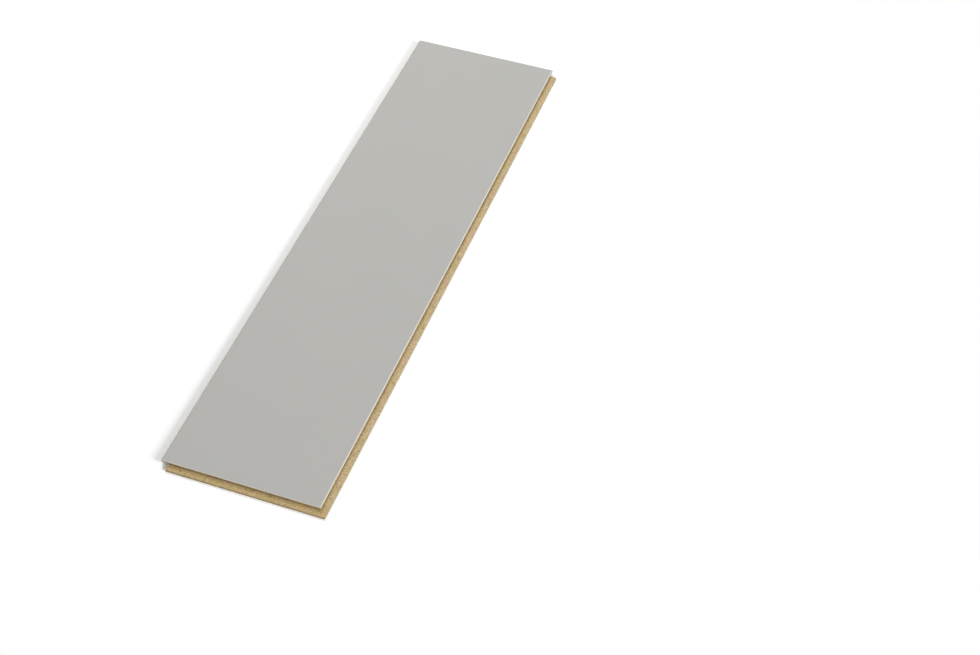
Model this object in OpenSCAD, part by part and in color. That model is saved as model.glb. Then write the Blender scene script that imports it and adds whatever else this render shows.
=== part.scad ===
// Tongue-and-groove chipboard lining panel, lying on its back with its painted face up.
//
// Frame: X runs along the length, Y across the width, Z up.  The back lies on Z = 0, and the
// origin is the middle of the panel's whole outline.  The -X and -Y edges are grooved, and
// their back lip stands out past the face, where the panel is stapled or screwed.  The +X and
// +Y edges carry the tongue, over a rebate that takes the neighbour's back lip.

/* [Face] */
// Length of the painted face, which is what one panel covers
face_length = 1200; // [400:10:2500]
// Width of the painted face
face_width = 300; // [150:10:900]
// Width and depth of the bevel round the face
face_bevel = 1.5; // [0.5:0.1:2]

/* [Layers] */
// Thickness of the face lip, which covers the groove and the tongue
face_lip = 4; // [3:0.5:8]
// Height of the groove
groove_height = 3.5; // [2:0.5:8]
// Thickness of the back lip, below the groove
back_lip = 4.5; // [3:0.5:10]

/* [Joint] */
// How far the back lip stands out past the face
lip_reach = 12; // [6:1:30]
// How far the tongue stands out past the face
tongue_reach = 2; // [1:0.5:12]
// Play beyond a tongue's tip in its groove, and beyond a lip's edge in its rebate
reach_play = 0.5; // [0.2:0.1:2]
// Play above and below a tongue in its groove
height_play = 0.2; // [0.1:0.1:0.6]

/* [Hidden] */

// Heights above the back
groove_top = back_lip + groove_height;
thickness = groove_top + face_lip;
tongue_low = back_lip + height_play;
tongue_high = groove_top - height_play;
bevel_low = thickness - face_bevel;

// Places along a section, from the face's grooved edge
lip_edge = -lip_reach;
groove_floor = tongue_reach + reach_play;
function tongue_tip(face) = face + tongue_reach;
function rebate_wall(face) = face - lip_reach - reach_play;

// The section that runs along a pair of opposite edges: groove and back lip first, tongue last
function section(face) = [
    [lip_edge, 0],
    [lip_edge, back_lip],
    [groove_floor, back_lip],
    [groove_floor, groove_top],
    [0, groove_top],
    [0, bevel_low],
    [face_bevel, thickness],
    [face - face_bevel, thickness],
    [face, bevel_low],
    [face, tongue_high],
    [tongue_tip(face), tongue_high],
    [tongue_tip(face), tongue_low],
    [rebate_wall(face), tongue_low],
    [rebate_wall(face), 0]
];

// How far the outline's middle lies from the face's grooved edge
function middle(face) = (lip_edge + tongue_tip(face)) / 2;

// One section drawn out along Y, with its outline centred on X = 0
module moulded(face, run) {
    rotate([90, 0, 0])
        linear_extrude(height = run, center = true)
            translate([-middle(face), 0])
                polygon(section(face));
}

// The ends are moulded with one section and the sides with the other, so the panel is what
// both leave, and the lips and tongues meet at the corners.
module panel() {
    across = 2 * (face_length + face_width);
    color("burlywood")
        intersection() {
            moulded(face_length, across);
            rotate([0, 0, 90])
                moulded(face_width, across);
        }
}

panel();
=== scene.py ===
"""Looks of the chipboard lining panel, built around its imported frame.

The panel is one piece, so it gets one detailed mesh.  That mesh takes its outline, layer by
layer, from the frame, is cut finely along the moulded edges, and is then worn there as sawn
and moulded chipboard is: small pits where chips have come out, and crumbled arrises.  Lengths
are in metres, as the frame's are.
"""
from collections import namedtuple
import math

import bmesh
import bpy
from mathutils import Matrix, Vector, noise

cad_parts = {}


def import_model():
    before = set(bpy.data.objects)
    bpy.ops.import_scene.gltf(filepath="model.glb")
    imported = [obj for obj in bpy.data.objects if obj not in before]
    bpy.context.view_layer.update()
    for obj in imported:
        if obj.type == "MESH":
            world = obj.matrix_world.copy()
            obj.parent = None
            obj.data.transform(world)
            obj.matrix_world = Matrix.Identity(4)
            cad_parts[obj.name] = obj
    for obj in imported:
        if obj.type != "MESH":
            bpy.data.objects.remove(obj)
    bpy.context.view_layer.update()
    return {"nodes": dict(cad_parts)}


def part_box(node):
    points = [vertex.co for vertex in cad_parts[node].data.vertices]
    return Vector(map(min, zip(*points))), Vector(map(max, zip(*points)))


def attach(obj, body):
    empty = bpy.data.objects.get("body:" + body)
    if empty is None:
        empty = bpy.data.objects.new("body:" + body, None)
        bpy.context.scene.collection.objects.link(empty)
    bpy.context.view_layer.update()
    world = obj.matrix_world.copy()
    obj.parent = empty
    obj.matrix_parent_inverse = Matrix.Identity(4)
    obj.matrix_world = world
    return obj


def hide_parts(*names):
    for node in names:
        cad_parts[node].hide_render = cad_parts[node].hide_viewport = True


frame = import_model()

MM = 0.001
NODE = "panel"

# Fineness of the mesh along the moulded edges
STATION_STEP = 1.05 * MM    # along an edge, and across a ledge
ROW_STEP = 1.0 * MM         # up a wall
BEVEL_ROWS = 4
BEVEL_ROUNDING = 0.35       # from 0, a flat bevel, to 1, a quarter round
SHARP_ANGLE = math.radians(30)

# Relief of the raw edges
PIT_SIZE = Vector((3.2, 3.2, 1.3)) * MM
PIT_DEPTH = 0.30 * MM
PIT_NOISE = (0.12, 0.55)        # the noise at which a pit begins, and at which it is deepest
GRAIN_SIZE = 1.1 * MM
GRAIN_DEPTH = 0.07 * MM
CRUMBLE_SIZE = 3.1 * MM
CRUMBLE_GROUP = 10.0 * MM       # crumbled places gather in stretches of about this length
CRUMBLE_DEPTH = 0.45 * MM
CRUMBLE_NOISE = (0.2, 0.7)
PAINTED_WEAR = 0.35             # share of the wear where the paint binds the chips

# Where in the noise these patterns begin, so that they don't follow each other
GRAIN_START = Vector((17, 5, 3))
CRUMBLE_START = Vector((3, 11, 29))
GROUP_START = Vector((7, 2, 13))

# The UV map that an export bakes the looks through.  The materials themselves don't read it.
MAP_NAME = "OFBake"
MAP_LENGTHS = 3                 # lengths that the longest band of the edges is cut into
MAP_GAP = 1.6 * MM              # gap round those lengths, which lie in rows
MAP_EDGES = 0.64                # share of the map that the rows take, and the sheets the rest
MAP_RIM = 0.03                  # share left clear at each end of the sheets, face and back
LEVEL_NORMAL = 0.99             # a face is level if its normal's Z is past this, up or down

X, Y, Z = range(3)
PAINT, ARRIS, SIDE, END, GROOVE, BACK = range(6)   # the mesh's material slots


# ---------------------------------------------------------------- shape

Layer = namedtuple("Layer", "low high foot top")    # its two heights, and its outline at each


def outline(mesh, height):
    """(x0, x1, y0, y1) of the panel's section at that height."""
    points = []
    for edge in mesh.edges:
        a, b = (mesh.vertices[i].co for i in edge.vertices)
        if (a.z - height) * (b.z - height) < 0:
            points.append(a.lerp(b, (height - a.z) / (b.z - a.z)))
    xs = [p.x for p in points]
    ys = [p.y for p in points]
    return tuple(round(v, 6) for v in (min(xs), max(xs), min(ys), max(ys)))


def layers(mesh):
    """The panel's layers, from the back up.  The last one is the bevel round the face."""
    near = 1e-7     # too little for a bevel to come in by it, once outline has rounded
    heights = sorted({round(v.co.z, 5) for v in mesh.vertices})
    return [Layer(low, high, outline(mesh, low + near), outline(mesh, high - near))
            for low, high in zip(heights, heights[1:])]


def stations(breaks, step):
    """The breaks, in order, with even steps between them."""
    breaks = sorted(set(breaks))
    places = []
    for a, b in zip(breaks, breaks[1:]):
        count = max(1, round((b - a) / step))
        places += [a + (b - a) * i / count for i in range(count)]
    return places + [breaks[-1]]


class Skin:
    """A mesh built from faces whose corners are merged where they meet."""

    def __init__(self, stack):
        self.lip_top = stack[0].high
        self.inner = stack[1].foot          # between the groove's floor and the rebate's wall
        self.face_outline = stack[-1].foot
        self.index = {}
        self.points = []
        self.faces = []
        self.materials = []

    def corner(self, p):
        """The number of a corner, which corners within a thousandth of a millimetre share."""
        key = tuple(round(c * 1e6) for c in p)
        if key not in self.index:
            self.index[key] = len(self.points)
            self.points.append(p)
        return self.index[key]

    def face(self, corners, material):
        """Adds a face, without the corners that fall together and unless it has no area."""
        loop = []
        for p in corners:
            i = self.corner(p)
            if i not in loop:
                loop.append(i)
        if len(loop) > 2:
            self.faces.append(loop)
            self.materials.append(material)

    def raw(self, corners):
        """A face of raw board: in the grooves, on one of the panel's ends, or on its sides."""
        x, y, z = (sum(c) / len(corners) for c in zip(*corners))
        tiny = 1e-6
        x0, x1, y0, y1 = self.face_outline
        under_face = x0 + tiny < x < x1 and y0 + tiny < y < y1 and z > self.lip_top - tiny
        # Faces under the face's overhang take the groove material, darkened as painted shade
        if under_face and (x < self.inner[0] + tiny or y < self.inner[2] + tiny):
            self.face(corners, GROOVE)
        else:
            self.face(corners, END if abs(x) > self.inner[1] - tiny else SIDE)


def ring(rect, z, xs, ys, foot=None):
    """Corners all the way round an outline, anticlockwise, at one height.

    There is one for each station along the foot, the outline that the wall rises from.  Those
    past the outline's own corners are drawn in to them.
    """
    x0, x1, y0, y1 = rect
    foot_x0, foot_x1, foot_y0, foot_y1 = foot or rect
    tiny = 1e-7
    run_x = [min(max(x, x0), x1) for x in xs if foot_x0 + tiny < x < foot_x1 - tiny]
    run_y = [min(max(y, y0), y1) for y in ys if foot_y0 + tiny < y < foot_y1 - tiny]
    return ([(x0, y0, z)] + [(x, y0, z) for x in run_x]
            + [(x1, y0, z)] + [(x1, y, z) for y in run_y]
            + [(x1, y1, z)] + [(x, y1, z) for x in reversed(run_x)]
            + [(x0, y1, z)] + [(x0, y, z) for y in reversed(run_y)])


def wall(rings):
    """The faces between rings that have as many corners each, the lowest ring first."""
    for low, high in zip(rings, rings[1:]):
        for i in range(len(low)):
            j = (i + 1) % len(low)
            yield low[i], low[j], high[j], high[i]


def ledge(below, above, z, xs, ys):
    """The flat faces between two outlines at one height: up where the lower one stands out."""
    def inside(rect, x, y):
        return rect[0] < x < rect[1] and rect[2] < y < rect[3]
    for xa, xb in zip(xs, xs[1:]):
        for ya, yb in zip(ys, ys[1:]):
            middle = ((xa + xb) / 2, (ya + yb) / 2)
            up = inside(below, *middle)
            if up == inside(above, *middle):
                continue
            corners = ((xa, ya, z), (xb, ya, z), (xb, yb, z), (xa, yb, z))
            yield corners if up else corners[::-1]


def bevel_point(t):
    """How far in and up the bevel's section has come, as shares of its width and height."""
    turn = math.pi / 2 * t
    across, up = 1 - math.cos(turn), math.sin(turn)
    return t + (across - t) * BEVEL_ROUNDING, t + (up - t) * BEVEL_ROUNDING


def bevel_rings(bevel, xs, ys):
    """The bevel's rings, from its foot to the edge of the flat face."""
    width = bevel.top[0] - bevel.foot[0]
    x0, x1, y0, y1 = bevel.foot
    for row in range(BEVEL_ROWS + 1):
        across, up = bevel_point(row / BEVEL_ROWS)
        inset = width * across
        rect = (x0 + inset, x1 - inset, y0 + inset, y1 - inset)
        yield ring(rect, bevel.low + (bevel.high - bevel.low) * up, xs, ys, bevel.foot)


def panel_skin(stack):
    """The whole panel as a finely cut closed skin, still with its exact outlines."""
    skin = Skin(stack)
    straight = [rect for layer in stack[:-1] for rect in (layer.foot, layer.top)]
    xs = stations([v for rect in straight for v in rect[:2]], STATION_STEP)
    ys = stations([v for rect in straight for v in rect[2:]], STATION_STEP)
    skin.face(ring(stack[0].foot, stack[0].low, xs, ys)[::-1], BACK)
    for layer, above in zip(stack, stack[1:]):
        heights = stations((layer.low, layer.high), ROW_STEP)
        for corners in wall([ring(layer.foot, z, xs, ys) for z in heights]):
            skin.raw(corners)
        for corners in ledge(layer.top, above.foot, layer.high, xs, ys):
            skin.raw(corners)
    rings = list(bevel_rings(stack[-1], xs, ys))
    for corners in wall(rings):
        skin.face(corners, ARRIS)
    skin.face(rings[-1], PAINT)
    return skin


def smoothstep(low, high, v):
    """From 0 to 1 as v goes from low to high, slowly at both ends."""
    t = min(max((v - low) / (high - low), 0.0), 1.0)
    return t * t * (3 - 2 * t)


def wear_depth(p, arris):
    """How deep the raw board is worn at a point, and deeper if it lies on an arris."""
    pit = noise.noise(Vector(a / b for a, b in zip(p, PIT_SIZE)))
    grain = noise.noise(p / GRAIN_SIZE + GRAIN_START)
    depth = PIT_DEPTH * smoothstep(*PIT_NOISE, pit) + GRAIN_DEPTH * (0.5 + 0.5 * grain)
    if arris:
        crumble = (noise.noise(p / CRUMBLE_SIZE + CRUMBLE_START)
                   + noise.noise(p / CRUMBLE_GROUP + GROUP_START))
        depth += CRUMBLE_DEPTH * smoothstep(*CRUMBLE_NOISE, crumble)
    return depth


def wear(mesh):
    """Pits, grain and crumbled arrises on the raw edges, all inwards from the exact outline."""
    work = bmesh.new()
    work.from_mesh(mesh)
    work.normal_update()
    shifts = []
    for vert in work.verts:
        materials = {face.material_index for face in vert.link_faces}
        if not materials & {SIDE, END, GROOVE}:
            continue
        arris = any(edge.is_convex and not edge.smooth for edge in vert.link_edges)
        share = PAINTED_WEAR if ARRIS in materials else 1.0
        shift = -vert.normal * (share * wear_depth(vert.co, arris))
        if BACK in materials:
            shift.z = 0.0
        shifts.append((vert, shift))
    for vert, shift in shifts:
        vert.co += shift
    work.to_mesh(mesh)
    work.free()


def edge_bands(mesh, inner):
    """The flat bands of the edges: the axis each runs along, the axis across it, its faces."""
    bands = {}
    for face in mesh.polygons:
        if face.material_index in (PAINT, BACK):
            continue
        level = abs(face.normal.z) > LEVEL_NORMAL
        if level:
            on_end = not inner[0] < face.center.x < inner[1]
        else:
            on_end = abs(face.normal.x) > abs(face.normal.y)
        run, out = (Y, X) if on_end else (X, Y)
        across, through = (out, Z) if level else (Z, out)
        plane = None if face.material_index == ARRIS else round(face.center[through], 5)
        side = face.center[out] > 0
        bands.setdefault((run, across, side, plane), []).append(face)
    return [(run, across, faces) for (run, across, _, _), faces in bands.items()]


def corners_of(mesh, face):
    """A face's corners: each one's number in the mesh's maps, and its place."""
    return [(loop, mesh.vertices[i].co) for loop, i in zip(face.loop_indices, face.vertices)]


def edge_rows(mesh, inner, low, length):
    """Lays the bands of the edges, cut to that length, in rows one above the other.

    Gives each corner's number and its place along and up the rows, and how high they reach.
    """
    rows = []
    top = MAP_GAP
    for run, across, faces in edge_bands(mesh, inner):
        levels = [p[across] for face in faces for _, p in corners_of(mesh, face)]
        foot = min(levels)
        tall = max(levels) - foot + MAP_GAP
        cuts = [int((face.center[run] - low[run]) / length) for face in faces]
        for face, cut in zip(faces, cuts):
            for loop, p in corners_of(mesh, face):
                along = MAP_GAP + p[run] - low[run] - cut * length
                rows.append((loop, along, top + cut * tall + p[across] - foot))
        top += tall * (max(cuts) + 1)
    return rows, top


def lay_out(mesh, skin):
    """Maps the mesh flat, with most of the room for the edges, which have the finest pattern."""
    low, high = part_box(NODE)
    size = [b - a for a, b in zip(low, high)]
    length = size[X] / MAP_LENGTHS
    rows, top = edge_rows(mesh, skin.inner, low, length)
    places = mesh.uv_layers.new(name=MAP_NAME).uv
    for loop, along, up in rows:
        places[loop].vector = (along / (length + 2 * MAP_GAP), up / top * MAP_EDGES)
    tall = (1 - MAP_EDGES) / 2
    for sheet, foot in ((PAINT, MAP_EDGES), (BACK, MAP_EDGES + tall)):
        for loop, p in corners_of(mesh, mesh.polygons[skin.materials.index(sheet)]):
            along, up = (MAP_RIM + (1 - 2 * MAP_RIM) * (c - a) / b
                         for c, a, b in zip(p.xy, low, size))
            places[loop].vector = (along, foot + tall * up)


def make_panel(skin, materials):
    """The panel's one object, from its skin, marked and mapped before it is worn."""
    mesh = bpy.data.meshes.new("chipboard_panel")
    mesh.from_pydata(skin.points, [], skin.faces)
    for material in materials:
        mesh.materials.append(material)
    mesh.polygons.foreach_set("material_index", skin.materials)
    mesh.set_sharp_from_angle(angle=SHARP_ANGLE)
    lay_out(mesh, skin)
    wear(mesh)
    for flat in (PAINT, BACK):
        mesh.polygons[skin.materials.index(flat)].use_smooth = False
    mesh.update()
    panel = bpy.data.objects.new("chipboard_panel", mesh)
    bpy.context.scene.collection.objects.link(panel)
    return panel


# ---------------------------------------------------------------- colours

def srgb(r, g, b):
    """A colour as it is written in 0 to 255, made linear for a shader."""
    def linear(c):
        c /= 255
        return c / 12.92 if c <= 0.04045 else ((c + 0.055) / 1.055) ** 2.4
    return (linear(r), linear(g), linear(b), 1.0)


def grey(v):
    return (v, v, v, 1.0)


def dimmed(colour, share):
    return tuple(share * c for c in colour[:3]) + (1.0,)


PAINT_COLOUR = srgb(186, 185, 181)
# The bevel's paint, lighter than the face's as a painted highlight for the light the bevel catches
ARRIS_HIGHLIGHT_COLOUR = srgb(210, 207, 199)
BARE_COLOUR = srgb(190, 166, 122)       # the board where paint has chipped off the bevel

# Tones of the chips, and of the fines: each picks its own at random, from 0 to 1 along these
CHIP_COLOURS = [(0.00, srgb(142, 116, 78)), (0.10, srgb(178, 155, 113)),
                (0.28, srgb(200, 182, 138)), (0.50, srgb(212, 195, 156)),
                (0.66, srgb(206, 174, 140)), (0.80, srgb(202, 184, 134)),
                (0.93, srgb(224, 209, 174))]
FINE_COLOURS = [(0.00, srgb(164, 140, 102)), (0.20, srgb(198, 179, 136)),
                (0.60, srgb(212, 195, 156)), (0.95, srgb(222, 208, 172))]

# Tints, which multiply the chips' own tones; those of the ends and the grooves are painted shade
PINK_WOOD = (1.06, 0.965, 0.98, 1.0)
YELLOW_WOOD = (1.015, 1.01, 0.82, 1.0)
WOODS = [(0.34, PINK_WOOD), (0.46, grey(1.0)), (0.54, grey(1.0)), (0.66, YELLOW_WOOD)]
SIDE_TINT = (0.96, 0.96, 0.96, 1.0)
END_SHADE_TINT = (0.91, 0.87, 0.76, 1.0)      # the cutter leaves the ends a little browner
GROOVE_SHADE_TINT = (0.72, 0.66, 0.53, 1.0)   # painted shade: the ends darker and browner
SKIN_TINT = grey(0.72)                  # painted shade: the grooves darker still

# Sets of chips: (how far they are turned, in degrees, and their length, width and thickness)
CORE_CHIPS = [(22, Vector((5.2, 1.9, 0.8)) * MM), (-48, Vector((4.4, 1.7, 0.7)) * MM),
              (80, Vector((3.4, 2.0, 0.6)) * MM)]
FINES = [(0, Vector((1.4, 1.0, 0.4)) * MM)]
BACK_FINES = [(15, Vector((2.0, 0.9, 0.5)) * MM), (-60, Vector((1.7, 0.8, 0.5)) * MM)]
SLIVERS = [(40, Vector((6.0, 0.9, 0.5)) * MM), (-20, Vector((7.0, 0.8, 0.5)) * MM)]

FINE_SHARE = 0.45           # how much of the core's colour is its fines', and not its chips'
SLIVER_SHARE = 0.35         # and of the back's, its slivers'
CHIP_BEND_REACH = 1.2 * MM  # how far the chips' outlines bend
SKIN_DEPTH = 2.6 * MM       # thickness of the board's two denser outer layers of fines
SKIN_BLEND = 0.8 * MM
OVERSPRAY = 0.7 * MM        # how far the paint strays down from the bevel

# Fineness of the noise, in cells per metre
CLOUDS = 9.0                # faint clouds in the face paint
SWELL = 45.0                # its slow unevenness
PEBBLES = 1100.0            # and the pebbling that a roller leaves
WORN_SPOTS = 420.0          # where paint has chipped off the bevel
BEVEL_PEBBLES = 700.0
CHIP_BEND = 220.0           # what the chips' outlines bend by
WOOD_PATCHES = 90.0         # where one wood gathers
DRIFT = 40.0
PORES = 520.0
STRAY = 260.0               # the paint's ragged lower edge
FIBRES = 900.0
BACK_DRIFT = 7.0
BACK_FIBRES = 800.0


# ---------------------------------------------------------------- materials

class Nodes:
    """Short ways to add and join a material's nodes."""

    def __init__(self, name):
        self.material = bpy.data.materials.new(name)
        self.material.use_nodes = True
        self.tree = self.material.node_tree
        self.shader = self.tree.nodes["Principled BSDF"]
        self.here = self.add("ShaderNodeTexCoord").outputs["Object"]

    def join(self, value, socket):
        """Links another node's output to a socket, or sets the socket to a plain value."""
        if isinstance(value, bpy.types.NodeSocket):
            self.tree.links.new(value, socket)
        else:
            socket.default_value = value

    def add(self, kind, values=None, **settings):
        node = self.tree.nodes.new(kind)
        for key, value in settings.items():
            setattr(node, key, value)
        for socket, value in (values or {}).items():
            self.join(value, node.inputs[socket])
        return node

    def set(self, socket, value):
        """Sets or links a socket of the shader itself."""
        self.join(value, self.shader.inputs[socket])

    def math(self, operation, a, b):
        return self.add("ShaderNodeMath", {0: a, 1: b}, operation=operation).outputs[0]

    def noise(self, scale, detail=2.0, output="Fac"):
        values = {"Vector": self.here, "Scale": scale, "Detail": detail}
        return self.add("ShaderNodeTexNoise", values).outputs[output]

    def step(self, value, low, high):
        """From 0 to 1 as the value goes from low to high."""
        values = {"Value": value, "From Min": low, "From Max": high}
        return self.add("ShaderNodeMapRange", values).outputs[0]

    def ramp(self, value, stops):
        """The colour at a value, between stops that each are (position, colour)."""
        node = self.add("ShaderNodeValToRGB", {"Fac": value})
        elements = node.color_ramp.elements
        while len(elements) < len(stops):
            elements.new(0.5)
        for element, (position, colour) in zip(elements, stops):
            element.position = position
            element.color = colour
        return node.outputs["Color"]

    def shade(self, noise, dark, light, low=0.3, high=0.7):
        """From one colour to the other as a noise goes from low to high."""
        return self.ramp(noise, [(low, dark), (high, light)])

    def mix(self, factor, a, b, blend="MIX"):
        node = self.add("ShaderNodeMix", data_type="RGBA", blend_type=blend)
        for name, value in (("Factor", factor), ("A", a), ("B", b)):
            self.join(value, next(s for s in node.inputs if s.name == name and s.enabled))
        return next(s for s in node.outputs if s.enabled)

    def tint(self, colour, by, share=1.0):
        """A colour multiplied by another."""
        return self.mix(share, colour, by, "MULTIPLY")

    def bump(self, height, distance, strength, below=None):
        """A normal for that relief, on top of the one below."""
        values = {"Height": height, "Distance": distance, "Strength": strength}
        if below:
            values["Normal"] = below
        return self.add("ShaderNodeBump", values).outputs["Normal"]


def paint_material():
    """Smooth factory paint: all but even in colour, with the faint pebbling of a roller coat."""
    n = Nodes("face_paint")
    clouds = n.shade(n.noise(CLOUDS, detail=3.0), dimmed(PAINT_COLOUR, 0.985), PAINT_COLOUR)
    stipple = n.shade(n.noise(PEBBLES), grey(0.985), grey(1.015), low=0.35, high=0.65)
    n.set("Base Color", n.tint(clouds, stipple))
    n.set("Roughness", 0.8)
    n.set("Specular IOR Level", 0.2)
    swell = n.bump(n.noise(SWELL), distance=0.05 * MM, strength=0.4)
    n.set("Normal", n.bump(n.noise(PEBBLES), distance=0.05 * MM, strength=0.5, below=swell))
    return n.material


def arris_material():
    """The bevel: paint made lighter, a painted highlight, through which a chip shows here and
    there.
    """
    n = Nodes("arris_paint")
    worn = n.shade(n.noise(WORN_SPOTS, detail=4.0), grey(0.0), grey(0.9), low=0.63, high=0.66)
    n.set("Base Color", n.mix(worn, ARRIS_HIGHLIGHT_COLOUR, BARE_COLOUR))
    n.set("Roughness", 0.8)
    n.set("Specular IOR Level", 0.2)
    n.set("Normal", n.bump(n.noise(BEVEL_PEBBLES, detail=3.0), distance=0.05 * MM, strength=0.5))
    return n.material


def chips(n, where, sets):
    """A random tone for each chip, where chips of several sets, each lying its own way, overlap."""
    tone = rank = None
    for turn, size in sets:
        along = n.add("ShaderNodeMapping", {"Vector": where, "Rotation": (0, 0, math.radians(turn)),
                                            "Scale": size}, vector_type="TEXTURE")
        cells = n.add("ShaderNodeTexVoronoi", {"Vector": along.outputs[0], "Scale": 1.0})
        own = n.add("ShaderNodeSeparateColor", {"Color": cells.outputs["Color"]})
        if tone is None:
            tone, rank = own.outputs["Red"], own.outputs["Green"]
            continue
        wins = n.math("GREATER_THAN", own.outputs["Green"], rank)
        tone = n.add("ShaderNodeMix", {0: wins, 2: tone, 3: own.outputs["Red"]}).outputs[0]
        rank = n.math("MAXIMUM", own.outputs["Green"], rank)
    return tone


def chipboard(n, coarse, fine, height, low, high):
    """Colours of raw board between two heights: coarse chips, and only fines near each."""
    depth = n.math("ABSOLUTE", n.math("SUBTRACT", height, (low + high) / 2), 0.0)
    skin_at = (high - low) / 2 - SKIN_DEPTH
    in_skin = n.step(depth, skin_at - SKIN_BLEND / 2, skin_at + SKIN_BLEND / 2)
    core = n.mix(FINE_SHARE, n.ramp(coarse, CHIP_COLOURS), n.ramp(fine, CHIP_COLOURS))
    board = n.mix(in_skin, core, n.tint(n.ramp(fine, FINE_COLOURS), SKIN_TINT))
    return n.tint(board, n.ramp(n.noise(WOOD_PATCHES, detail=1.0), WOODS))


def board_material(name, tint, low, high, paint_low):
    """Raw edges, darkened by the tint as painted shade on ends and grooves, and paint strayed from
    the bevel.
    """
    n = Nodes(name)
    where = n.mix(CHIP_BEND_REACH, n.here, n.noise(CHIP_BEND, output="Color"), "ADD")
    coarse = chips(n, where, CORE_CHIPS)
    fine = chips(n, where, FINES)
    height = n.add("ShaderNodeSeparateXYZ", {"Vector": n.here}).outputs["Z"]
    drift = n.shade(n.noise(DRIFT), dimmed(tint, 0.95), tint)
    pores = n.shade(n.noise(PORES), grey(0.5), grey(1.0), low=0.30, high=0.40)
    board = n.tint(chipboard(n, coarse, fine, height, low, high), drift)
    board = n.tint(board, pores, share=0.8)
    stray = n.math("MULTIPLY", n.noise(STRAY, detail=3.0), 2 * OVERSPRAY)
    painted = n.step(n.math("ADD", height, stray), paint_low + 0.9 * OVERSPRAY,
                     paint_low + 1.1 * OVERSPRAY)
    # The paint that strays from the bevel takes the bevel's colour, painted highlight and all
    n.set("Base Color", n.mix(painted, board, ARRIS_HIGHLIGHT_COLOUR))
    n.set("Roughness", 0.85)
    n.set("Specular IOR Level", 0.2)
    lift = n.bump(coarse, distance=0.20 * MM, strength=0.35)
    fibres = n.noise(FIBRES, detail=3.0)
    n.set("Normal", n.bump(fibres, distance=0.15 * MM, strength=0.4, below=lift))
    return n.material


def back_material():
    """The sanded back: fines pressed smooth, with a few longer slivers among them."""
    n = Nodes("chipboard_back")
    fines = n.ramp(chips(n, n.here, BACK_FINES), FINE_COLOURS)
    slivers = n.ramp(chips(n, n.here, SLIVERS), CHIP_COLOURS)
    drift = n.shade(n.noise(BACK_DRIFT, detail=4.0), grey(0.92), grey(1.0))
    n.set("Base Color", n.tint(n.mix(SLIVER_SHARE, fines, slivers), drift))
    n.set("Roughness", 0.8)
    n.set("Specular IOR Level", 0.25)
    n.set("Normal", n.bump(n.noise(BACK_FIBRES, detail=3.0), distance=0.06 * MM, strength=0.4))
    return n.material


def panel_materials(stack):
    """The mesh's materials, in the order of its slots."""
    heights = (stack[0].low, stack[-1].high, stack[-1].low)
    return [paint_material(), arris_material(),
            board_material("chipboard_side", SIDE_TINT, *heights),
            # painted shade: the ends darker and browner
            board_material("chipboard_end", END_SHADE_TINT, *heights),
            # painted shade: the grooves darker still
            board_material("chipboard_groove", GROOVE_SHADE_TINT, *heights), back_material()]


# ---------------------------------------------------------------- stage

# The view: down on the panel from beyond its grooved end
LENS = 64.92
SENSOR_WIDTH = 36.0
VIEW_AZIMUTH = -68.77
VIEW_ELEVATION = 48.32
VIEW_ROLL = -1.21
VIEW_DISTANCE = 3.251
AIM_OFFSET = (-0.1086, -0.2684)     # from the panel's middle to what the camera looks at

FLOOR_SIZE = 30.0
FLOOR_GREY = 0.48               # what the floor throws back on to the panel
FLOOR_GAIN = 0.15               # how much more light it shows than falls on it, to be white
SHADOW_REACH = (0.75, 1.25)     # it shows shadows within the first, and none past the second

# Light that reaches a level surface at the panel, as shares of full light: the world's, and
# each lamp's, after its name, the way to it, its distance and its size
WORLD_SHARE = 0.34
LAMPS = [("key", (-0.60, -2.15, 1.0), 9.0, 2.9, 0.29),
         ("top", (0.575, 0.39, 1.0), 3.1, 1.08, 0.30),
         ("fill", (-0.655, -0.32, 0.74), 9.0, 4.0, 0.07)]


def background_rays(tree):
    """1 on the rays that see the background: the camera's, and those in gloss and glass."""
    path = tree.nodes.new("ShaderNodeLightPath")
    either = path.outputs["Is Camera Ray"]
    for kind in ("Is Glossy Ray", "Is Transmission Ray"):
        largest = tree.nodes.new("ShaderNodeMath")
        largest.operation = "MAXIMUM"
        tree.links.new(either, largest.inputs[0])
        tree.links.new(path.outputs[kind], largest.inputs[1])
        either = largest.outputs[0]
    return either


def split(tree, seen, lit, output):
    """Sends one shader to the rays that see the background, and another to the rest."""
    mix = tree.nodes.new("ShaderNodeMixShader")
    tree.links.new(background_rays(tree), mix.inputs["Fac"])
    tree.links.new(lit, mix.inputs[1])
    tree.links.new(seen, mix.inputs[2])
    tree.links.new(mix.outputs[0], tree.nodes[output].inputs["Surface"])


def floor():
    """A plain floor, seen white, that keeps the panel's shadow and fades into the backdrop."""
    bpy.ops.mesh.primitive_plane_add(size=FLOOR_SIZE)
    plane = bpy.context.object
    plane.name = "floor"
    n = Nodes("floor")
    n.tree.nodes.remove(n.shader)
    lit = n.add("ShaderNodeBsdfDiffuse", {"Color": grey(FLOOR_GREY)})
    white = n.add("ShaderNodeBsdfDiffuse", {"Color": grey(1.0)})
    gain = n.add("ShaderNodeBsdfDiffuse", {"Color": grey(FLOOR_GAIN)})
    near = n.add("ShaderNodeAddShader", {0: white.outputs[0], 1: gain.outputs[0]})
    far = n.add("ShaderNodeEmission", {"Color": grey(1.0), "Strength": 1.0})
    reach = n.add("ShaderNodeVectorMath", {0: n.here}, operation="LENGTH").outputs["Value"]
    away = n.add("ShaderNodeMapRange", {"Value": reach, "From Min": SHADOW_REACH[0],
                                        "From Max": SHADOW_REACH[1]},
                 interpolation_type="SMOOTHSTEP")
    seen = n.add("ShaderNodeMixShader",
                 {0: away.outputs[0], 1: near.outputs[0], 2: far.outputs[0]})
    split(n.tree, seen.outputs[0], lit.outputs[0], "Material Output")
    plane.data.materials.append(n.material)


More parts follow.
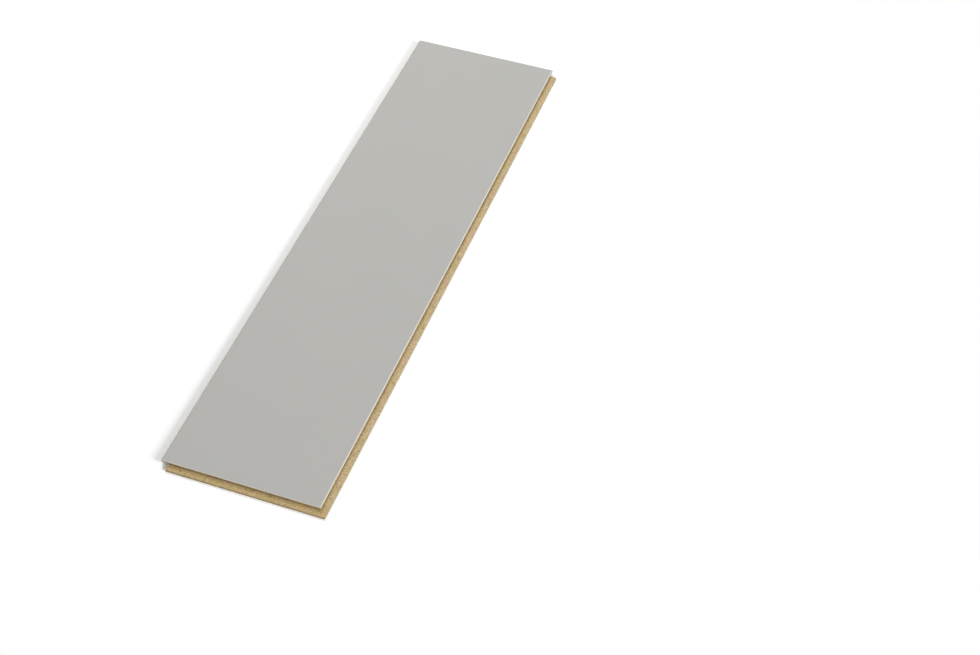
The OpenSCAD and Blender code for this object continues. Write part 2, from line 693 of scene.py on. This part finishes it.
def lamp(name, towards, distance, size, share):
    """A square soft box that gives a level surface at the panel that share of full light."""
    way = Vector(towards).normalized()
    light = bpy.data.lights.new(name, "AREA")
    light.shape = "SQUARE"
    light.size = size
    light.energy = share * (math.pi * distance) ** 2 / way.z
    obj = bpy.data.objects.new(name, light)
    obj.location = way * distance
    obj.rotation_euler = way.to_track_quat("Z", "Y").to_euler()
    bpy.context.scene.collection.objects.link(obj)


def world():
    """Even light from all round, and plain white where the background is seen."""
    studio = bpy.data.worlds.new("studio")
    bpy.context.scene.world = studio
    studio.use_nodes = True
    tree = studio.node_tree
    lit = tree.nodes["Background"]
    seen = tree.nodes.new("ShaderNodeBackground")
    for back, strength in ((lit, WORLD_SHARE), (seen, 1.0)):
        back.inputs["Color"].default_value = grey(1.0)
        back.inputs["Strength"].default_value = strength
    split(tree, seen.outputs[0], lit.outputs[0], "World Output")


def camera():
    """The camera, aimed from the panel's own box."""
    low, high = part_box(NODE)
    centre = (Vector(low) + Vector(high)) / 2
    aim = Vector((centre.x + AIM_OFFSET[0], centre.y + AIM_OFFSET[1], low[2]))
    azimuth, elevation = math.radians(VIEW_AZIMUTH), math.radians(VIEW_ELEVATION)
    back = Vector((math.sin(azimuth) * math.cos(elevation),
                   -math.cos(azimuth) * math.cos(elevation), math.sin(elevation)))
    data = bpy.data.cameras.new("camera")
    data.lens = LENS
    data.sensor_width = SENSOR_WIDTH
    obj = bpy.data.objects.new("camera", data)
    turn = (-back).to_track_quat("-Z", "Y").to_matrix().to_4x4()
    roll = Matrix.Rotation(math.radians(VIEW_ROLL), 4, "Z")
    obj.matrix_world = Matrix.Translation(aim + back * VIEW_DISTANCE) @ turn @ roll
    bpy.context.scene.collection.objects.link(obj)
    bpy.context.scene.camera = obj


# ---------------------------------------------------------------- scene

stack = layers(frame["nodes"][NODE].data)
panel = make_panel(panel_skin(stack), panel_materials(stack))
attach(panel, "root")
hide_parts(NODE)

floor()
camera()
world()
for settings in LAMPS:
    lamp(*settings)
bpy.context.scene.view_settings.view_transform = "Standard"
